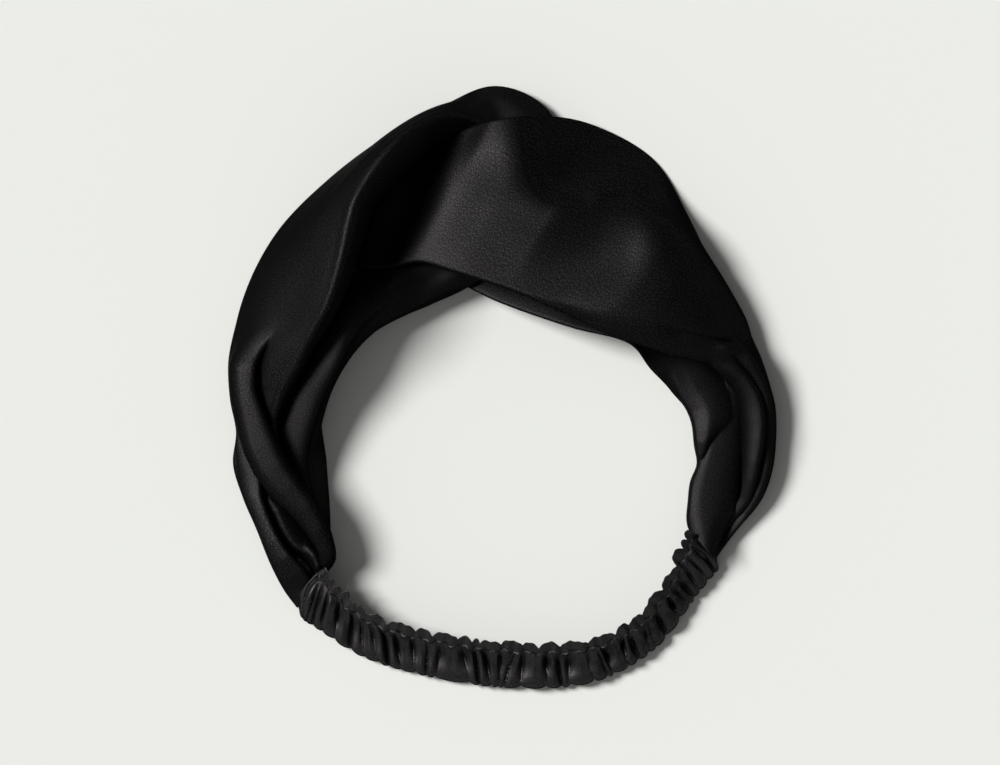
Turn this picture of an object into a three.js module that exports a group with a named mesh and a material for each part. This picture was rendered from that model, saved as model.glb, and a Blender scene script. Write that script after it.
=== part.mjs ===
// A satin cross headband, lying on a table on its lower hems, with the front knot at +Y.
// Two wide satin wraps are each doubled round the other at the front, so that they interlock.
// The two ends of each wrap run back along one side and are sewn to an end of the gathered
// elastic casing that closes the loop behind the head.
// Millimetres, +Z up, origin on the table under the middle of the loop, +X to the wearer's right.
import * as THREE from "three";

// Driving dimensions
const SATIN_WALL = 1.2; // a wrap is a satin tube pressed flat: two layers
const ROLL_SLOPE = THREE.MathUtils.degToRad(50); // how steeply a wrap falls away behind its crest
const LEAST_ROLL = 0.6; // the cloth beyond the crest where a wrap has no roll
const FULL_ROLL = 4; // a roll this long turns all the way down its slope
const BELLY_AT = 0.27; // where a section's belly lies, as a share of the way from foot to crest
const HOLLOW_AT = 0.6; // where its hollow lies
const CASING_WIDTH = 23; // hem to hem, measured up the slope
const CASING_HEIGHT = 8.8; // height of its middle line above the table
const GATHERS = 24; // folds pushed up along the elastic
const GATHER_DEPTH = 0.9;
const FRILL_SWING = 0.8; // how far the frill above the stitching swings to and fro
const SCALLOP = 0.9; // how far the frill's top edge rises and falls
const CENTRE_X = 1.2; // brings the middle of the loop over the origin
const CENTRE_Y = -0.75;
const STEPS_PER_ROW = 4;
const STEPS_ACROSS = 10;
const STEPS_PER_GATHER = 5;

// One row for each section of a wrap. foot is the hem that lies lowest on the outgoing leg,
// crest is the line that stands highest; belly swells the section out, hollow sinks it in and
// roll is the length of cloth that falls away behind the crest.
const SECTION = ["footX", "footY", "footZ", "crestX", "crestY", "crestZ", "belly", "hollow", "roll"];

// From the casing along the left temple, round behind the right wrap, and back on the crown side
const LEFT_WRAP = [
  [-69, -73, 0.4, -62.2, -61.5, 17, 1, 0, 0],
  [-78, -58, 0.4, -62, -52.5, 19, 4, 2, 3],
  [-86.5, -37, 0.4, -68, -34, 22, 6, 3, 6],
  [-89.5, -14, 0.4, -74.5, -13, 27, 6, 2, 8],
  [-90.5, 6, 0.4, -69, 8, 35, 6, 3, 8],
  [-86, 29, 0.4, -58, 29, 42, 6, 5, 10],
  [-75.5, 51, 0.4, -53.5, 48, 45, 6, 4, 13],
  [-58.5, 69.5, 0.4, -48, 64, 45, 4, 1, 14],
  [-38, 84.5, 0.4, -33, 79, 41, 3, 1, 14],
  [-20, 94, 0.4, -16, 87, 25, 2, 0, 4],
  [-4.5, 100.5, 2, -2, 82.5, 11, 2, 0, 2],
  [9, 97, 3.5, 2, 76.5, 12.5, 1, 0, 0],
  [17, 88, 4.5, -1.5, 69.3, 13.5, 1, 0, 0],
  [14.5, 73, 5, -8.5, 62.3, 14.5, 1, 0, 0],
  [8.5, 57, 8, -15.5, 55, 15.5, 1, 0, 1],
  [0, 43.5, 12, -21.5, 48, 16, 2, 0, 3],
  [-11, 34.5, 12, -28, 40.5, 19, 3, 0, 5],
  [-25, 28, 2, -37, 33.5, 25, 4, 0, 12],
  [-43, 20, 0.4, -51, 25, 29, 3, 0, 12],
  [-55.5, 7.5, 0.4, -60, 11.5, 27, 2, 0, 11],
  [-61.5, -7.5, 0.4, -64.5, -5, 22, 2, 0, 11],
  [-59.5, -25.5, 0.4, -63, -25, 15, 2, 0, 9],
  [-58.5, -44, 0.4, -61, -44, 11, 1, 0, 5],
  [-59, -57, 0.4, -61, -55.5, 10, 1, 0, 1],
  [-60.6, -64, 0.4, -62.4, -63.2, 8, 0, 0, 0],
];

// From the casing along the right temple, across the front as the broad panel, down round the
// left wrap, and back underneath to the right temple on the crown side
const RIGHT_WRAP = [
  [72.3, -56.6, 0.4, 67, -52.4, 11.5, 1, 0, 0],
  [82.5, -37, 0.4, 78, -34.8, 10, 2, 0, 4],
  [88.5, -17, 0.4, 83.5, -16.8, 12, 2.5, 0, 7],
  [87.3, 0, 0.4, 82, 1, 13, 3, 0, 7],
  [80.7, 17.7, 0.4, 74.5, 12.5, 18, 4, 0, 5],
  [70, 36.7, 0.4, 55.7, 19.5, 24, 5, -2, 4],
  [59.5, 54.5, 0.4, 36.7, 24, 27, 6, -3, 2],
  [47.2, 75, 0.4, 18.3, 29, 28, -1, -4, 0],
  [30, 87.2, 3, 0, 34, 28, -3, -4, 0],
  [11, 90.3, 13, -16.7, 39.3, 25, 3, 0, 0],
  [-7.5, 87, 23, -29, 42.5, 23, 2, 0, 0],
  [-27.5, 78, 16, -40, 40.5, 20.5, 1, 0, 0],
  [-43.5, 62, 7.5, -49, 40.8, 14, 0, 0, 0],
  [-30, 63, 3.5, -39, 42.5, 4, 0, 0, 0],
  [-6.7, 66, 1.5, -20, 38, 4.5, 0, 0, 0],
  [13.3, 66, 0.8, -2, 29.5, 11, -1, 0, 0],
  [35.7, 61, 0.4, 22, 21, 18, -2, 0, 0],
  [54.3, 44.3, 0.4, 41.5, 15.5, 18.5, -3, 0, 0],
  [69, 23.3, 3, 51, 7, 11, -3, 0, 0],
  [77, 4.3, 5, 60, -5.3, 4, -4, 0, 0],
  [78.5, -14.7, 4.5, 63.3, -19, 1, -4, 0, 0],
  [76.5, -32.3, 3.5, 63.5, -30.7, 1.5, -4, 0, 0],
  [73, -48.3, 3, 62, -43.5, 7, -3, 0, 0],
  [70.3, -56.6, 0.6, 60.1, -48.8, 14, -1, 0, 0],
];

// Folds pushed into a wrap: straight strokes from one place to another, given by row and by the
// share of the way across from the foot. rise is out of the cloth, and half the fold is halfWidth.
const FOLD = ["fromRow", "fromAcross", "toRow", "toAcross", "rise", "halfWidth"];
const LEFT_FOLDS = [
  [4.2, 0.27, 1.4, 0.75, 3.5, 7],
  [4.8, 0.5, 3.2, 0.72, -3, 6],
  [2.7, 0.3, 0.9, 0.5, -4, 6],
];
const RIGHT_FOLDS = [
  [8.3, 0.3, 6.4, 0.17, -2.5, 7],
  [8.6, 0.05, 6.2, 0.08, 3, 5],
];

// The casing's middle line seen from above, from its left end to its right end, and how steeply
// its face leans there, in degrees.
const CASING_ROUTE = [
  { x: -64.35, y: -67.8, lean: 58 },
  { x: -46.7, y: -81.3, lean: 59 },
  { x: -25, y: -88, lean: 57 },
  { x: 5, y: -91.8, lean: 56 },
  { x: 29, y: -90.3, lean: 60 },
  { x: 47, y: -81, lean: 66 },
  { x: 57, y: -68.5, lean: 68 },
  { x: 65.2, y: -54.2, lean: 60 },
];

// Half the casing's thickness from its lower hem, past the elastic, the row of stitching and the
// frill, to its top edge. height is measured from the middle line in halves of the width; gather
// and swing say how strongly the folds show there.
const CASING_PROFILE = [
  { height: -1, half: 1.2, gather: 0, swing: 0 },
  { height: -0.75, half: 2.6, gather: 1, swing: 0 },
  { height: -0.2, half: 3, gather: 1, swing: 0 },
  { height: 0.3, half: 2.3, gather: 0.8, swing: 0 },
  { height: 0.58, half: 1, gather: 0.2, swing: 0.3 },
  { height: 1, half: 0.8, gather: 0, swing: 1 },
];

const UP = new THREE.Vector3(0, 0, 1);

function named(columns, values) {
  return Object.fromEntries(columns.map((name, i) => [name, values[i]]));
}

function mesh(name, geometry, roughness) {
  const material = new THREE.MeshStandardMaterial({ color: 0x141316, roughness, metalness: 0 });
  const made = new THREE.Mesh(geometry, material);
  made.name = name;
  return made;
}

function solid(points, triangles) {
  const geometry = new THREE.BufferGeometry();
  const positions = points.flatMap((p) => p.toArray());
  geometry.setAttribute("position", new THREE.Float32BufferAttribute(positions, 3));
  geometry.setIndex(triangles);
  geometry.computeVertexNormals();
  return geometry;
}

// Closes a run of rings, each an equal number of points seen turning left from ahead, into a solid.
function tube(rings) {
  const around = rings[0].length;
  const triangles = [];
  for (let i = 0; i < rings.length - 1; i++) {
    for (let j = 0; j < around; j++) {
      const next = (j + 1) % around;
      const [a, b] = [i * around + j, i * around + next];
      triangles.push(a, b, b + around, a, b + around, a + around);
    }
  }
  const end = (rings.length - 1) * around;
  for (let j = 0; j < around / 2 - 1; j++) {
    const [a, b, c, d] = [j, j + 1, around - 2 - j, around - 1 - j];
    triangles.push(a, c, b, a, d, c);
    triangles.push(end + a, end + b, end + c, end + a, end + c, end + d);
  }
  return solid(rings.flat(), triangles);
}

// A fold rises and dies away smoothly to each side of its stroke and towards its two ends.
function foldRise(folds, row, across, width) {
  let rise = 0;
  for (const values of folds) {
    const f = named(FOLD, values);
    const along = THREE.MathUtils.clamp((row - f.fromRow) / (f.toRow - f.fromRow), 0, 1);
    const beyond = Math.abs(row - THREE.MathUtils.lerp(f.fromRow, f.toRow, along));
    const aside = (across - THREE.MathUtils.lerp(f.fromAcross, f.toAcross, along)) * width;
    rise += f.rise * Math.exp(-((aside / f.halfWidth) ** 2) - (beyond / 0.45) ** 2);
  }
  return rise;
}

// The middle sheet of a wrap: a grid of points, indexed [along][across], from foot to rolled hem.
function wrapSheet(table, folds, turn) {
  const rows = table.map((values) => named(SECTION, values));
  const curve = (pick) => new THREE.CatmullRomCurve3(rows.map((r) => new THREE.Vector3(...pick(r))));
  const foot = curve((r) => [r.footX, r.footY, r.footZ]);
  const crest = curve((r) => [r.crestX, r.crestY, r.crestZ]);
  const form = curve((r) => [r.belly, r.hollow, r.roll]);
  const steps = (rows.length - 1) * STEPS_PER_ROW;
  const middle = (t) => foot.getPoint(t).lerp(crest.getPoint(t), 0.5);
  const sheet = [];
  for (let i = 0; i <= steps; i++) {
    const t = i / steps;
    const low = foot.getPoint(t);
    const high = crest.getPoint(t);
    const { x: belly, y: hollow, z: roll } = form.getPoint(t);
    const before = middle(Math.max(0, t - 0.5 / steps));
    const ahead = middle(Math.min(1, t + 0.5 / steps)).sub(before).normalize();
    const chord = high.clone().sub(low);
    const out = chord.clone().cross(ahead).normalize().multiplyScalar(turn);
    const inward = chord.clone().addScaledVector(ahead, -chord.dot(ahead)).setZ(0).normalize();
    const down = inward.multiplyScalar(Math.cos(ROLL_SLOPE)).addScaledVector(UP, -Math.sin(ROLL_SLOPE));
    const turned = THREE.MathUtils.clamp(roll / FULL_ROLL, 0, 1);
    const fall = chord.clone().normalize().lerp(down, turned).normalize();
    const section = new THREE.CatmullRomCurve3([
      low,
      low.clone().addScaledVector(chord, BELLY_AT).addScaledVector(out, belly),
      low.clone().addScaledVector(chord, HOLLOW_AT).addScaledVector(out, belly / 2 - hollow),
      high,
      high.clone().addScaledVector(fall, Math.max(LEAST_ROLL, roll)),
    ]);
    const width = section.getLength();
    const folded = section.getSpacedPoints(STEPS_ACROSS).map((p, j) => {
      const rise = foldRise(folds, i / STEPS_PER_ROW, j / STEPS_ACROSS, width);
      return p.addScaledVector(out, rise);
    });
    sheet.push(folded);
  }
  return sheet;
}

// A wrap's wall, half its thickness to each side of the sheet, laid flat where it meets the table.
function wrap(table, folds, turn) {
  const sheet = wrapSheet(table, folds, turn);
  const near = (list, i) => list[THREE.MathUtils.clamp(i, 0, list.length - 1)];
  const rings = sheet.map((section, i) => {
    const side = (sign) =>
      section.map((p, j) => {
        const along = near(sheet, i + 1)[j].clone().sub(near(sheet, i - 1)[j]);
        const across = near(section, j + 1).clone().sub(near(section, j - 1));
        const moved = p.clone().addScaledVector(across.cross(along).normalize(), (sign * SATIN_WALL) / 2);
        return moved.setZ(Math.max(0, moved.z));
      });
    return [...side(1), ...side(-1).reverse()];
  });
  return tube(rings);
}

// The gathered casing. The folds are spaced unevenly along it, as cloth bunches on elastic.
function casing() {
  const stops = CASING_ROUTE.map(({ x, y, lean }) => new THREE.Vector3(x, y, lean));
  const route = new THREE.CatmullRomCurve3(stops);
  const steps = GATHERS * STEPS_PER_GATHER;
  const rings = [];
  for (let i = 0; i <= steps; i++) {
    const s = i / steps;
    const place = route.getPoint(s);
    const lean = THREE.MathUtils.degToRad(place.z);
    const ahead = route.getTangent(s).setZ(0).normalize();
    const inward = UP.clone().cross(ahead);
    const upward = inward.clone().multiplyScalar(Math.cos(lean)).addScaledVector(UP, Math.sin(lean));
    const outward = inward.clone().multiplyScalar(-Math.sin(lean)).addScaledVector(UP, Math.cos(lean));
    const phase = 2 * Math.PI * (GATHERS * s + 0.3 * Math.sin(19 * s) + 0.2 * Math.sin(47 * s));
    const strength = (0.75 + 0.25 * Math.sin(31 * s)) * Math.min(1, 12 * s, 12 * (1 - s));
    const face = (sign) =>
      CASING_PROFILE.map(({ height, half, gather, swing }) => {
        const fold = gather * GATHER_DEPTH * strength * Math.sin(phase + sign * 0.9);
        const sway = swing * FRILL_SWING * strength * Math.sin(phase + 2);
        const rise = swing * SCALLOP * strength * Math.cos(phase);
        const p = new THREE.Vector3(place.x, place.y, CASING_HEIGHT);
        p.addScaledVector(upward, (height * CASING_WIDTH) / 2 + rise);
        p.addScaledVector(outward, sign * (half + fold) + sway);
        return p.setZ(Math.max(0, p.z));
      });
    rings.push([...face(-1), ...face(1).reverse()]);
  }
  return tube(rings);
}

const headband = new THREE.Group();
headband.add(mesh("left_wrap", wrap(LEFT_WRAP, LEFT_FOLDS, 1), 0.42));
headband.add(mesh("right_wrap", wrap(RIGHT_WRAP, RIGHT_FOLDS, -1), 0.42));
headband.add(mesh("elastic_casing", casing(), 0.45));
headband.position.set(CENTRE_X, CENTRE_Y, 0);

export default headband;
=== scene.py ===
import math

import bpy
import numpy as np
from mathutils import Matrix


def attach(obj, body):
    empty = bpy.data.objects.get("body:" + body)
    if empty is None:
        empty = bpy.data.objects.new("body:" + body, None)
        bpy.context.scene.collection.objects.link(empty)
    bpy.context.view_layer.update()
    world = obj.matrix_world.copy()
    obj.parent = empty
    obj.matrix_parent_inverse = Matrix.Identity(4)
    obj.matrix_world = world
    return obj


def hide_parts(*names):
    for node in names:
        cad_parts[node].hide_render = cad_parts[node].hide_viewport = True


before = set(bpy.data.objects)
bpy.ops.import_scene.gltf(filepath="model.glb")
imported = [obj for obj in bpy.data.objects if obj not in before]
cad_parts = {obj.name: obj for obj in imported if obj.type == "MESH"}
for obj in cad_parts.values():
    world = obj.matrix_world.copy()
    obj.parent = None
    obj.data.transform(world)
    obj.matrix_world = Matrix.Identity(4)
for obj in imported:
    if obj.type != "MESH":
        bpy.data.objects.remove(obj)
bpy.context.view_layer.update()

# Left wrap
# A wide tube of black satin, turned and pressed flat to two layers. It leaves the left end of the
# casing, stands up along the temple, goes round the right wrap at the front and comes back on the
# crown side. Both of its ends are pleated together and sewn into the casing.
MM = 0.001
LOOP_CENTRE = (1.2, -0.75, 0.0)  # from the middle of the sections below to the frame's origin, mm
SATIN_WALL = 0.9  # both layers of the pressed tube, mm
FLOOR_CLEAR = 0.02  # the least height of a wrap's cloth above the floor, mm
CELLS_ACROSS = 70
LEFT_CELLS = (  # row of the sections below, and the length of the mesh's cells there, mm
    (0, 0.5), (4.4, 0.55), (5, 0.8), (9, 0.8), (10, 1.5), (16, 1.5), (17, 0.8), (24, 0.8),
)
WRAP_DARK = (0.01, 0.0094, 0.0097, 1)
WRAP_LIGHT = (0.055, 0.052, 0.053, 1)
WRAP_DULLNESS = 0.55
GRAIN_SIZE = 0.0004  # m

# Sections from the casing and back, mm: foot x y z, crest x y z; two places as shares of the way from
# foot to crest, each with how far the cloth stands out there; the length that rolls down behind the
# crest, the slope of that roll in degrees, and the length that hangs from it
LEFT_SECTIONS = (
    (-69, -73, 0.4, -62.2, -61.5, 12, 0.4, 1, 0.7, 0.5, 0.6, 50, 0.4),
    (-78, -58, 0.4, -62, -52.5, 16, 0.4, 3, 0.7, 1, 3, 50, 0.4),
    (-86.5, -37, 0.4, -68, -34, 20, 0.4, 5, 0.7, 2, 4, 60, 0.4),
    (-89.5, -14, 0.4, -76.5, -12, 20, 0.45, 6, 0.72, 3, 3, 65, 4),
    (-91.5, 6, 0.4, -69, 8, 30.5, 0.45, 4, 0.72, 1.5, 3.5, 65, 6),
    (-87.5, 29, 0.4, -58, 29, 41.5, 0.4, 4.5, 0.72, 3, 5, 65, 8),
    (-76.5, 51, 0.4, -51.8, 48.5, 45, 0.45, 4, 0.75, 4, 6, 65, 11),
    (-58.5, 69.5, 0.4, -48, 64, 45, 0.5, 2.5, 0.8, 3, 7.5, 58, 12),
    (-38, 84.5, 0.4, -35.3, 81.6, 40, 0.5, 2, 0.8, 1.5, 10, 48, 10),
    (-20, 94, 0.4, -18.2, 90.4, 25, 0.5, 2, 0.8, 1.2, 8, 42, 3),
    (-4.5, 100.5, 2, -2, 82.5, 11, 0.27, 2, 0.6, 1, 3, 30, 0.4),
    (9, 97, 3.5, 2, 76.5, 12.5, 0.27, 1, 0.6, 0.5, 0.6, 0, 0.3),
    (17, 88, 4.5, -1.5, 69.3, 13.5, 0.27, 1, 0.6, 0.5, 0.6, 0, 0.3),
    (14.5, 73, 5, -8.5, 62.3, 14.5, 0.27, 1, 0.6, 0.5, 0.6, 0, 0.3),
    (8.5, 57, 8, -15.5, 55, 15.5, 0.27, 1, 0.6, 0.5, 0.6, 0, 0.3),
    (0, 43.5, 12, -21.5, 48, 16, 0.27, 2, 0.6, 1, 3, 20, 0.3),
    (-11, 34.5, 10, -28, 40.5, 16, 0.4, 3, 0.7, 1.5, 7, 25, 0.4),
    (-25, 28, 1.5, -37, 33.5, 20.5, 0.5, 4, 0.75, 2, 12, 35, 3),
    (-43, 20, 0.4, -48.7, 22.3, 25, 0.5, 3, 0.75, 1.5, 10, 22, 7),
    (-55.5, 7.5, 0.4, -56, 7.7, 24.5, 0.5, 2, 0.75, 1, 8, 20, 7),
    (-61.5, -7.5, 0.4, -62.3, -5.3, 20.5, 0.5, 2, 0.75, 1, 9, 20, 7),
    (-59.5, -25.5, 0.4, -67, -25, 15.5, 0.5, -1, 0.75, -1, 8, 22, 6),
    (-58.5, -44, 0.4, -62.5, -44, 9, 0.5, 0, 0.75, 0, 3, 40, 2),
    (-59, -57, 0.4, -61, -55.5, 8, 0.5, 1, 0.75, 0.5, 1, 50, 0.4),
    (-60.6, -64, 0.4, -62.4, -63.2, 7, 0.5, 0, 0.75, 0, 0.6, 50, 0.3),
)

# Towards the casing the outgoing leg lies in rolls over one another: the first and last row; its outer
# and its inner edge in the frame, mm, evenly spread over those rows; each roll from the casing up:
# the roundness of its left and right side and its lean, then its line as x, y, height, reach to the
# left and right, and fall to the left and right; last the bottom of the slits between the rolls, and the
# edge that comes down to the floor, 0 the outer and 1 the inner
LEFT_BUNDLE = (0, 5, (
    (-67.8, -73.8), (-72.1, -68.1), (-76.5, -59.8), (-81.5, -47.4), (-85.8, -37.4), (-89.1, -26.1),
    (-88.1, -15.4), (-90.1, -4.8), (-90.8, 5.9), (-90.3, 15.2), (-88, 24.6),
), (
    (-60.1, -64.1), (-55.5, -58.1), (-56.1, -50.8), (-60.1, -41.1), (-65.1, -32.8), (-70.5, -25.8),
    (-74.1, -16.1), (-70.8, -3.8), (-65.8, 5.6), (-60.5, 16.6), (-54.8, 26.2),
), (
    (3.2, 4, 0.22, (
        (-59.1, -63.1, 8.5, 2, 1.5, 3, 4), (-58, -59.6, 13, 2.6, 1.5, 5, 6),
        (-57.6, -54.8, 18.5, 3, 1.8, 7, 8), (-60.8, -48.1, 22, 3.2, 3, 9, 8),
        (-65.8, -41.1, 23.5, 3.6, 4.8, 10, 7), (-71.5, -34.8, 24.2, 4.2, 5.4, 10, 6),
        (-76.8, -28.1, 24.4, 4.4, 6, 10.5, 5.5), (-80.5, -20.4, 24.3, 4.9, 6.2, 13, 5.5),
        (-83.1, -10.8, 24, 5.4, 4.8, 20, 4.4), (-84.8, -1.4, 23.8, 5.6, 3.2, 23, 2.8),
        (-84.8, 8.6, 23.8, 6, 3.5, 23, 0.8), (-83.1, 21.2, 24.5, 6, 5, 24, 0.5),
    )),
    (3.6, 2, 0.34, (
        (-63.6, -66, 10.5, 9, 1.5, 8, 3), (-66.5, -61.4, 13, 9, 1.5, 10, 4),
        (-70.8, -56.4, 14.4, 7.5, 1.2, 12, 6), (-74.5, -50.8, 14.2, 6.5, 1.2, 12, 6.5),
        (-78.2, -42.8, 13.2, 5.5, 1.2, 11.5, 6), (-80.2, -36.8, 12.4, 6.3, 1.2, 11, 6),
        (-81.1, -30.8, 11.4, 7, 1.2, 10.5, 5), (-83.5, -24.8, 10, 5.7, 2, 9.5, 4),
        (-86.1, -18.1, 8, 3, 2, 7.5, 3), (-87.6, -12, 5, 2.5, 2, 4.5, 2.5),
        (-88.6, -5, 1.5, 2, 2, 1, 1),
    )),
    (2, 1.6, 0, (
        (-61, -63.4, 8.5, 1.5, 2, 3, 3), (-62.6, -59.2, 10.5, 1.4, 3.5, 3, 3.5),
        (-64.6, -55.6, 11.5, 1.3, 4.5, 3.5, 4), (-68.5, -53.1, 11.8, 1.2, 6, 4, 5),
        (-72.1, -47.8, 12.2, 1.2, 6, 4, 5), (-75.1, -41.4, 12.4, 1, 5, 4, 5),
        (-77.1, -38.1, 10, 1, 2, 3, 2),
    )),
    (2, 2, 0, (
        (-61.8, -65.2, 8, 0.9, 0.9, 2, 2), (-64, -61.2, 11, 1, 1, 2.5, 2.5),
        (-66.8, -58.6, 11.6, 1, 1, 2, 2), (-69.6, -56.8, 11, 0.8, 0.8, 1, 1),
    )),
    (2, 2, 0, (
        (-60.2, -64.2, 9, 1, 1, 3, 3), (-60.8, -60, 12.2, 1.5, 1.3, 3, 3.5),
        (-62.4, -56.4, 12.6, 1.5, 1.5, 2.5, 2.5), (-65, -53.8, 11.8, 1.3, 1.3, 1.5, 1.5),
        (-67.4, -52.2, 10.4, 1, 1, 1, 1),
    )),
    (1.5, 2, 0, (
        (-73.5, -19.4, 18, 2, 1.2, 2, 3), (-75.5, -12.4, 19.5, 3, 1.5, 3, 7),
        (-72.5, -2.8, 23.5, 8.8, 1.8, 4.5, 8), (-67.8, 6.6, 29.5, 13, 2, 7.5, 9),
        (-62.8, 17.2, 36, 20, 2.2, 12.5, 10), (-56.8, 26.6, 41.5, 22, 2.4, 17, 10),
        (-53.5, 35.2, 43.5, 23, 2.4, 18, 10),
    )),
), 6.5, 0)

# The rolled edge along the crest: rise, half width to the left and right, first and last row, line
LEFT_FOLDS = (
    (1.3, 1.2, 1, 2.9, 7.6, (
        (-77.1, -19.8), (-75.8, -13.1), (-73.5, -3.1), (-68, 7.2), (-62.8, 16.6),
        (-56.8, 28.2), (-53.1, 41.2), (-50.8, 53.6), (-47.8, 62.9), (-43.1, 68.6),
    )),
)
LEFT_BUNDLE_FADE = (4.75, 3.95)  # rows over which the smooth sheet gives way to the rolls
NO_STEP = 1e-4  # where the root of a step's length is below this, the step counts as none
NO_LENGTH = 1e-9  # the least length a vector is divided by


def rail(points, shares):
    """Points at these shares of the way along a smooth curve through the given points."""
    given = np.asarray(points, float)
    run = np.concatenate([2 * given[:1] - given[1:2], given, 2 * given[-1:] - given[-2:-1]])
    place = np.clip(np.asarray(shares, float), 0, 1) * (len(given) - 1)
    first = np.minimum(place.astype(int), len(given) - 2)
    w = (place - first)[:, None]
    a, b, c, d = (run[first + k] for k in range(4))
    before, here, after = (
        np.linalg.norm(end - start, axis=1, keepdims=True) ** 0.5
        for start, end in ((a, b), (b, c), (c, d))
    )
    here = np.where(here < NO_STEP, 1, here)
    before = np.where(before < NO_STEP, here, before)
    after = np.where(after < NO_STEP, here, after)
    leave = ((b - a) / before - (c - a) / (before + here) + (c - b) / here) * here
    arrive = ((c - b) / here - (d - b) / (here + after) + (d - c) / after) * here
    return b + w * (leave + w * (3 * (c - b) - 2 * leave - arrive + w * (2 * (b - c) + leave + arrive)))


def unit(vectors):
    """Vectors of the same direction and of length 1."""
    return vectors / np.maximum(np.linalg.norm(vectors, axis=-1, keepdims=True), NO_LENGTH)


def paces(points):
    """The distance walked along a run of points, from 0."""
    return np.concatenate([[0], np.cumsum(np.linalg.norm(np.diff(points, axis=0), axis=1))])


def ease(value, start, end):
    """A smooth way from 0 at the start to 1 at the end."""
    w = np.clip((value - start) / (end - start), 0, 1)
    return w * w * (3 - 2 * w)


def evenly(run, count):
    """A run of points drawn again as this many points at even distances."""
    length = paces(run)
    even = np.linspace(0, length[-1], count)
    return np.stack([np.interp(even, length, run[:, k]) for k in range(run.shape[1])], axis=1)


ROW_STEPS = 40  # steps from one section to the next when lengths are measured
SECTION_STEPS = 160  # steps across a section when it is drawn
HEADING_ROWS = 0.125  # rows ahead and behind that a ring's heading is taken over
FULL_TURN = 4  # a roll or a hanging edge this long takes its own direction in full, mm
PLUMB = (0.17, 0.98)  # a hanging edge's way inwards and down


def wrap_sheet(sections, turn, cells):
    """The wrap's middle sheet [along][across] and the row of the table each ring lies at.

    Seen from above, turn is 1 for a wrap that runs clockwise and -1 for the other way.
    """
    table = np.array(sections, float)
    last = len(table) - 1
    foot, crest = table[:, 0:3], table[:, 3:6]

    def middle(shares):
        return (rail(foot, shares) + rail(crest, shares)) / 2

    fine = np.linspace(0, 1, ROW_STEPS * last + 1)
    cell = np.interp((fine[1:] + fine[:-1]) / 2 * last, *zip(*cells))
    walked = np.concatenate([[0], np.cumsum(np.diff(paces(middle(fine))) / cell)])
    shares = np.interp(np.linspace(0, walked[-1], round(walked[-1]) + 1), walked, fine)
    low, high = rail(foot, shares), rail(crest, shares)
    bends = rail(table[:, 6:13], shares)
    first_at, first_out, next_at, next_out, roll, slope, hang = np.split(bends, 7, axis=1)
    reach = HEADING_ROWS / last
    ahead = unit(middle(np.minimum(1, shares + reach)) - middle(np.maximum(0, shares - reach)))
    chord = high - low
    out = unit(np.cross(chord, ahead)) * turn
    up = np.array((0.0, 0.0, 1.0))
    inward = unit(np.cross(ahead, up)) * turn
    slope = np.radians(slope)
    fall = inward * np.cos(slope) - up * np.sin(slope)
    turned = np.clip(roll / FULL_TURN, 0, 1)
    fall = unit(unit(chord) * (1 - turned) + fall * turned)
    plumb = np.clip(hang / FULL_TURN, 0, 1)
    down = unit(fall * (1 - plumb) + (inward * PLUMB[0] - up * PLUMB[1]) * plumb)
    stops = np.stack([
        low,
        low + chord * first_at + out * first_out,
        low + chord * next_at + out * next_out,
        high,
        high + fall * roll,
        high + fall * roll + down * hang,
    ], axis=1)
    drawn = np.linspace(0, 1, SECTION_STEPS + 1)
    rings = [evenly(rail(section, drawn), CELLS_ACROSS + 1) for section in stops]
    return np.array(rings) + LOOP_CENTRE, shares * last


STROKE_STEPS = 8  # straight pieces for each point of a stroke


def beside(stroke, places):
    """How far places lie to the left of a stroke seen from above, and their share along it."""
    path = rail(stroke, np.linspace(0, 1, STROKE_STEPS * len(stroke)))
    best = np.full(places.shape[:-1], np.inf)
    aside, share = np.zeros_like(best), np.zeros_like(best)
    for k, (a, b) in enumerate(zip(path, path[1:])):
        step = b - a
        away = places - a
        w = np.clip((away @ step) / (step @ step), 0, 1)
        gap = away - w[..., None] * step
        far = np.linalg.norm(gap, axis=-1)
        near = far < best
        best = np.where(near, far, best)
        side = np.sign(step[0] * away[..., 1] - step[1] * away[..., 0])
        aside = np.where(near, side * far, aside)
        share = np.where(near, (k + w) / (len(path) - 1), share)
    return aside, share


STEEP = 5  # how fast the cloth drops beyond a roll's reach, mm for each mm


def heap(places, rolls, ground):
    """The height of a heap of rolls of cloth at these places: the highest roll there."""
    top = np.full(places.shape[:-1], float(ground))
    for outer, inner, lean, line in rolls:
        line = np.array(line, float)
        aside, share = beside(line[:, :2], places)
        station = share * (len(line) - 1)
        height, left, right, left_fall, right_fall = (
            np.interp(station, np.arange(len(line)), line[:, k]) for k in range(2, 7)
        )
        side = aside > 0
        reach = np.where(side, left, right)
        fall = np.where(side, left_fall, right_fall)
        power = np.where(side, outer, inner)
        r = np.abs(aside) / reach
        bend = 1 - np.maximum(1 - np.minimum(r, 1) ** power, 0) ** (1 / power)
        beyond = np.maximum(np.abs(aside) - reach, 0)
        top = np.maximum(top, height - fall * bend - STEEP * beyond - lean * aside)
    return top


BUNDLE_STEPS = 360  # steps across a bundle when its heights are taken
FLOOR_TURN = (-0.002, 0.035)  # share of the width over which the edge on the floor comes up
SMOOTHED_RINGS = 5  # rings to each side over which the cells across are evened out


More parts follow.
